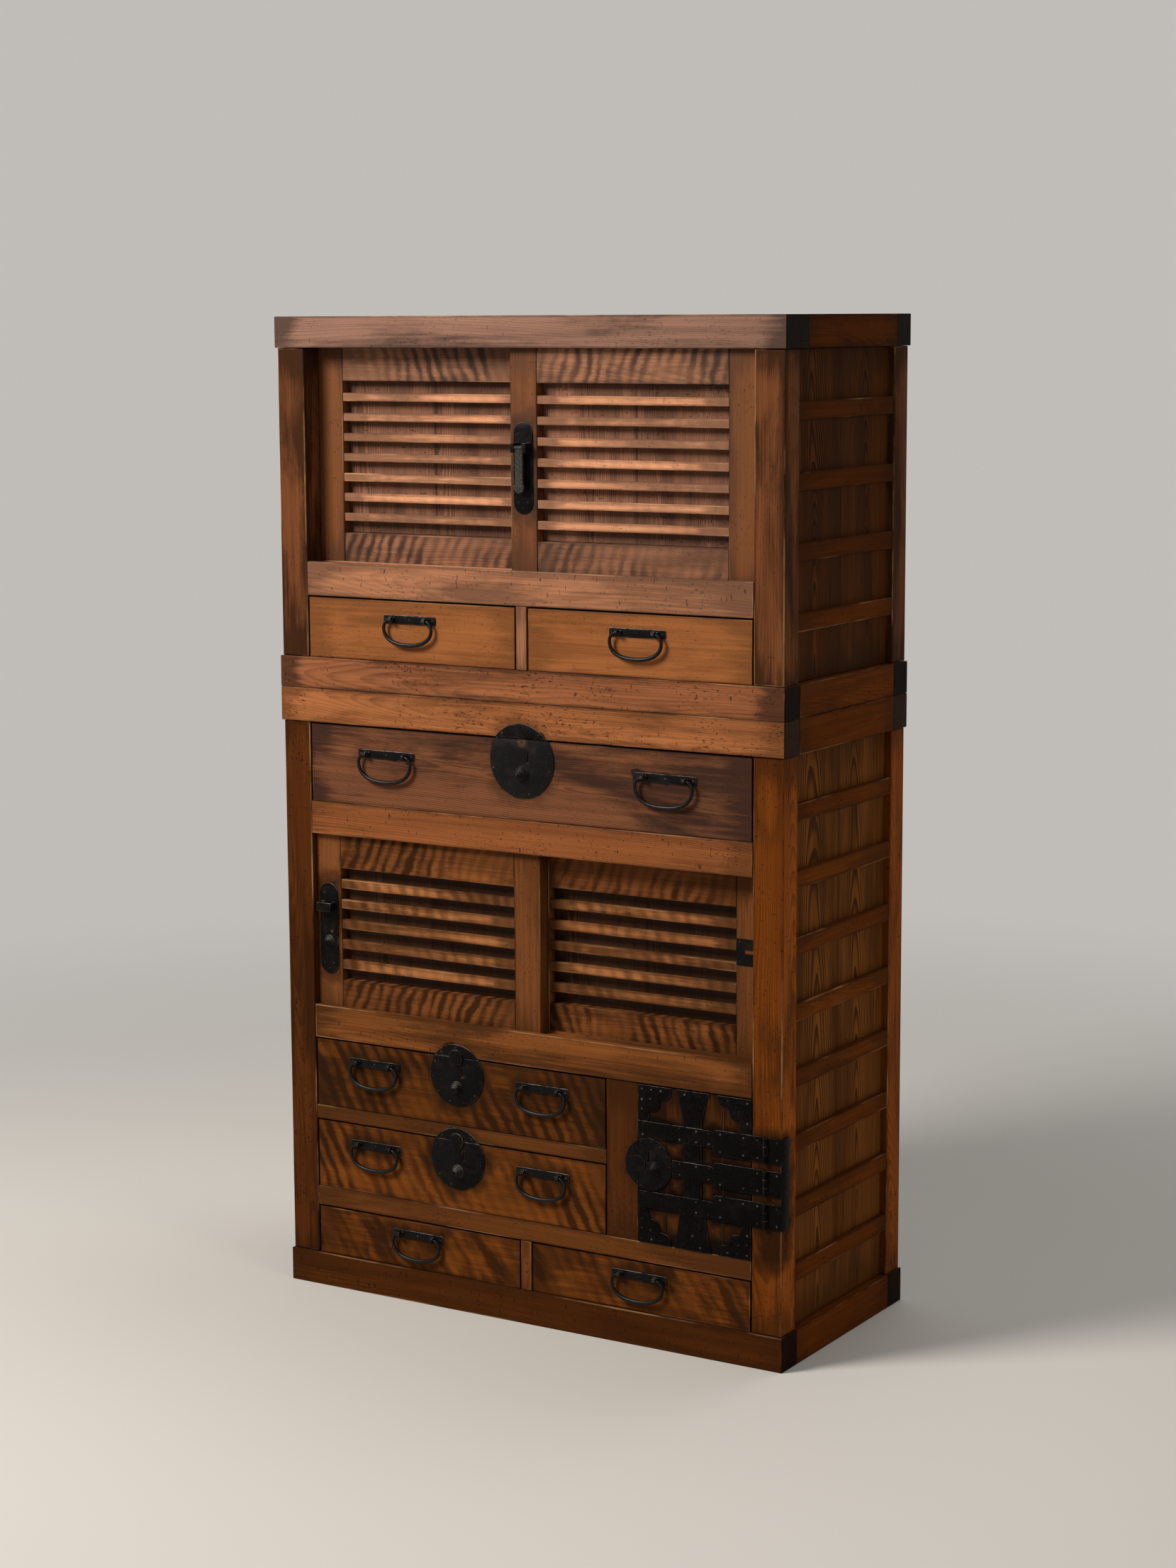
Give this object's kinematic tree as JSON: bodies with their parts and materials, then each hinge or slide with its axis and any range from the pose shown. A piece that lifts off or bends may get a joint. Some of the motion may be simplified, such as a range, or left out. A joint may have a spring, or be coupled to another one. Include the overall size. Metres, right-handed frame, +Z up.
{
  "type": "merchant chest",
  "caption": "Tall two-section wooden merchant chest with louvred sliding doors, drawers on swinging iron bails, round iron locks and an iron-bound safe door.",
  "frame": {"origin": "on the floor under the middle of the overall bounding box", "axes": "+Z up, +Y towards the back of the chest, +X towards its right side seen from the front"},
  "size_m": [0.88, 0.4088, 1.5168],
  "materials": {
    "frame_wood": "worn reddish-brown varnish",
    "panel_wood": "darkened brown varnish",
    "figured_wood": "figured grain under clear brown varnish",
    "plain_drawer_wood": "plain grain, light brown, semi-matt",
    "dark_wood": "dark red-brown stain",
    "black_iron": "hand-forged, blackened, worn brighter on edges"
  },
  "bodies": {
    "lower_case": {"lower_base_frame": "frame_wood", "lower_top_frame": "frame_wood", "lower_side_left": "panel_wood", "lower_side_right": "panel_wood", "lower_back": "panel_wood", "lower_shelf": "frame_wood", "lower_door_sill": "frame_wood", "lower_cross_rail": "frame_wood", "safe_divider": "frame_wood", "safe_hinge_plate": "black_iron", "safe_lock_keeper": "black_iron", "wide_drawer_lock_keeper": "black_iron", "upper_lock_drawer_lock_keeper": "black_iron", "lower_lock_drawer_lock_keeper": "black_iron"},
    "upper_case": {"upper_base_frame": "frame_wood", "upper_top_frame": "frame_wood", "upper_side_left": "panel_wood", "upper_side_right": "panel_wood", "upper_back": "panel_wood", "upper_door_sill": "frame_wood"},
    "upper_left_door": {"upper_left_door": "figured_wood"},
    "upper_right_door": {"upper_right_door": "figured_wood", "upper_door_lock_plate": "black_iron"},
    "upper_door_hasp": {"upper_door_hasp": "black_iron"},
    "lower_left_door": {"lower_left_door": "figured_wood", "lower_door_lock_plate": "black_iron"},
    "lower_right_door": {"lower_right_door": "figured_wood"},
    "safe_door": {"safe_door_planks": "dark_wood", "safe_door_ironwork": "black_iron", "safe_lock_plate": "black_iron"},
    "upper_left_drawer": {"upper_left_drawer": "plain_drawer_wood", "upper_left_drawer_plate": "black_iron"},
    "upper_right_drawer": {"upper_right_drawer": "plain_drawer_wood", "upper_right_drawer_plate": "black_iron"},
    "wide_drawer": {"wide_drawer": "dark_wood", "wide_drawer_left_plate": "black_iron", "wide_drawer_right_plate": "black_iron", "wide_drawer_lock_plate": "black_iron"},
    "upper_lock_drawer": {"upper_lock_drawer": "figured_wood", "upper_lock_drawer_left_plate": "black_iron", "upper_lock_drawer_right_plate": "black_iron", "upper_lock_drawer_lock_plate": "black_iron"},
    "lower_lock_drawer": {"lower_lock_drawer": "figured_wood", "lower_lock_drawer_left_plate": "black_iron", "lower_lock_drawer_right_plate": "black_iron", "lower_lock_drawer_lock_plate": "black_iron"},
    "bottom_left_drawer": {"bottom_left_drawer": "figured_wood", "bottom_left_drawer_plate": "black_iron"},
    "bottom_right_drawer": {"bottom_right_drawer": "figured_wood", "bottom_right_drawer_plate": "black_iron"},
    "upper_left_drawer_bail": {"upper_left_drawer_bail": "black_iron"},
    "upper_right_drawer_bail": {"upper_right_drawer_bail": "black_iron"},
    "wide_drawer_left_bail": {"wide_drawer_left_bail": "black_iron"},
    "wide_drawer_right_bail": {"wide_drawer_right_bail": "black_iron"},
    "upper_lock_drawer_left_bail": {"upper_lock_drawer_left_bail": "black_iron"},
    "upper_lock_drawer_right_bail": {"upper_lock_drawer_right_bail": "black_iron"},
    "lower_lock_drawer_left_bail": {"lower_lock_drawer_left_bail": "black_iron"},
    "lower_lock_drawer_right_bail": {"lower_lock_drawer_right_bail": "black_iron"},
    "bottom_left_drawer_bail": {"bottom_left_drawer_bail": "black_iron"},
    "bottom_right_drawer_bail": {"bottom_right_drawer_bail": "black_iron"}
  },
  "joints": [
    {"name": "upper_case_lift", "type": "slide", "parent": "lower_case", "child": "upper_case", "axis": [0, 0, 1], "range_m": [0, 0.12]},
    {"name": "upper_left_door_slide", "type": "slide", "parent": "upper_case", "child": "upper_left_door", "axis": [1, 0, 0], "range_m": [0, 0.364]},
    {"name": "upper_right_door_slide", "type": "slide", "parent": "upper_case", "child": "upper_right_door", "axis": [1, 0, 0], "range_m": [-0.364, 0]},
    {"name": "lower_left_door_slide", "type": "slide", "parent": "lower_case", "child": "lower_left_door", "axis": [1, 0, 0], "range_m": [0, 0.364]},
    {"name": "lower_right_door_slide", "type": "slide", "parent": "lower_case", "child": "lower_right_door", "axis": [1, 0, 0], "range_m": [-0.364, 0]},
    {"name": "upper_door_hasp_hinge", "type": "hinge", "parent": "upper_right_door", "child": "upper_door_hasp", "pos_m": [0, -0.18895, 1.3258], "axis": [-1, 0, 0], "range_deg": [0, 100]},
    {"name": "upper_left_drawer_slide", "type": "slide", "parent": "upper_case", "child": "upper_left_drawer", "axis": [0, -1, 0], "range_m": [0, 0.28]},
    {"name": "upper_right_drawer_slide", "type": "slide", "parent": "upper_case", "child": "upper_right_drawer", "axis": [0, -1, 0], "range_m": [0, 0.28]},
    {"name": "wide_drawer_slide", "type": "slide", "parent": "lower_case", "child": "wide_drawer", "axis": [0, -1, 0], "range_m": [0, 0.28]},
    {"name": "upper_lock_drawer_slide", "type": "slide", "parent": "lower_case", "child": "upper_lock_drawer", "axis": [0, -1, 0], "range_m": [0, 0.28]},
    {"name": "lower_lock_drawer_slide", "type": "slide", "parent": "lower_case", "child": "lower_lock_drawer", "axis": [0, -1, 0], "range_m": [0, 0.28]},
    {"name": "bottom_left_drawer_slide", "type": "slide", "parent": "lower_case", "child": "bottom_left_drawer", "axis": [0, -1, 0], "range_m": [0, 0.28]},
    {"name": "bottom_right_drawer_slide", "type": "slide", "parent": "lower_case", "child": "bottom_right_drawer", "axis": [0, -1, 0], "range_m": [0, 0.28]},
    {"name": "upper_left_drawer_bail_hinge", "type": "hinge", "parent": "upper_left_drawer", "child": "upper_left_drawer_bail", "pos_m": [-0.19875, -0.19395, 1.0643], "axis": [-1, 0, 0], "range_deg": [0, 90]},
    {"name": "upper_right_drawer_bail_hinge", "type": "hinge", "parent": "upper_right_drawer", "child": "upper_right_drawer_bail", "pos_m": [0.19875, -0.19395, 1.0643], "axis": [-1, 0, 0], "range_deg": [0, 90]},
    {"name": "wide_drawer_left_bail_hinge", "type": "hinge", "parent": "wide_drawer", "child": "wide_drawer_left_bail", "pos_m": [-0.245, -0.19395, 0.856], "axis": [-1, 0, 0], "range_deg": [0, 90]},
    {"name": "wide_drawer_right_bail_hinge", "type": "hinge", "parent": "wide_drawer", "child": "wide_drawer_right_bail", "pos_m": [0.245, -0.19395, 0.856], "axis": [-1, 0, 0], "range_deg": [0, 90]},
    {"name": "upper_lock_drawer_left_bail_hinge", "type": "hinge", "parent": "upper_lock_drawer", "child": "upper_lock_drawer_left_bail", "pos_m": [-0.2755, -0.19395, 0.369], "axis": [-1, 0, 0], "range_deg": [0, 90]},
    {"name": "upper_lock_drawer_right_bail_hinge", "type": "hinge", "parent": "upper_lock_drawer", "child": "upper_lock_drawer_right_bail", "pos_m": [0.0305, -0.19395, 0.369], "axis": [-1, 0, 0], "range_deg": [0, 90]},
    {"name": "lower_lock_drawer_left_bail_hinge", "type": "hinge", "parent": "lower_lock_drawer", "child": "lower_lock_drawer_left_bail", "pos_m": [-0.2755, -0.19395, 0.238], "axis": [-1, 0, 0], "range_deg": [0, 90]},
    {"name": "lower_lock_drawer_right_bail_hinge", "type": "hinge", "parent": "lower_lock_drawer", "child": "lower_lock_drawer_right_bail", "pos_m": [0.0305, -0.19395, 0.238], "axis": [-1, 0, 0], "range_deg": [0, 90]},
    {"name": "bottom_left_drawer_bail_hinge", "type": "hinge", "parent": "bottom_left_drawer", "child": "bottom_left_drawer_bail", "pos_m": [-0.19875, -0.19395, 0.106], "axis": [-1, 0, 0], "range_deg": [0, 90]},
    {"name": "bottom_right_drawer_bail_hinge", "type": "hinge", "parent": "bottom_right_drawer", "child": "bottom_right_drawer_bail", "pos_m": [0.19875, -0.19395, 0.106], "axis": [-1, 0, 0], "range_deg": [0, 90]},
    {"name": "safe_door_hinge", "type": "hinge", "parent": "lower_case", "child": "safe_door", "pos_m": [0.412, -0.19185, 0.2803], "axis": [0, 0, 1], "range_deg": [0, 170]}
  ]
}
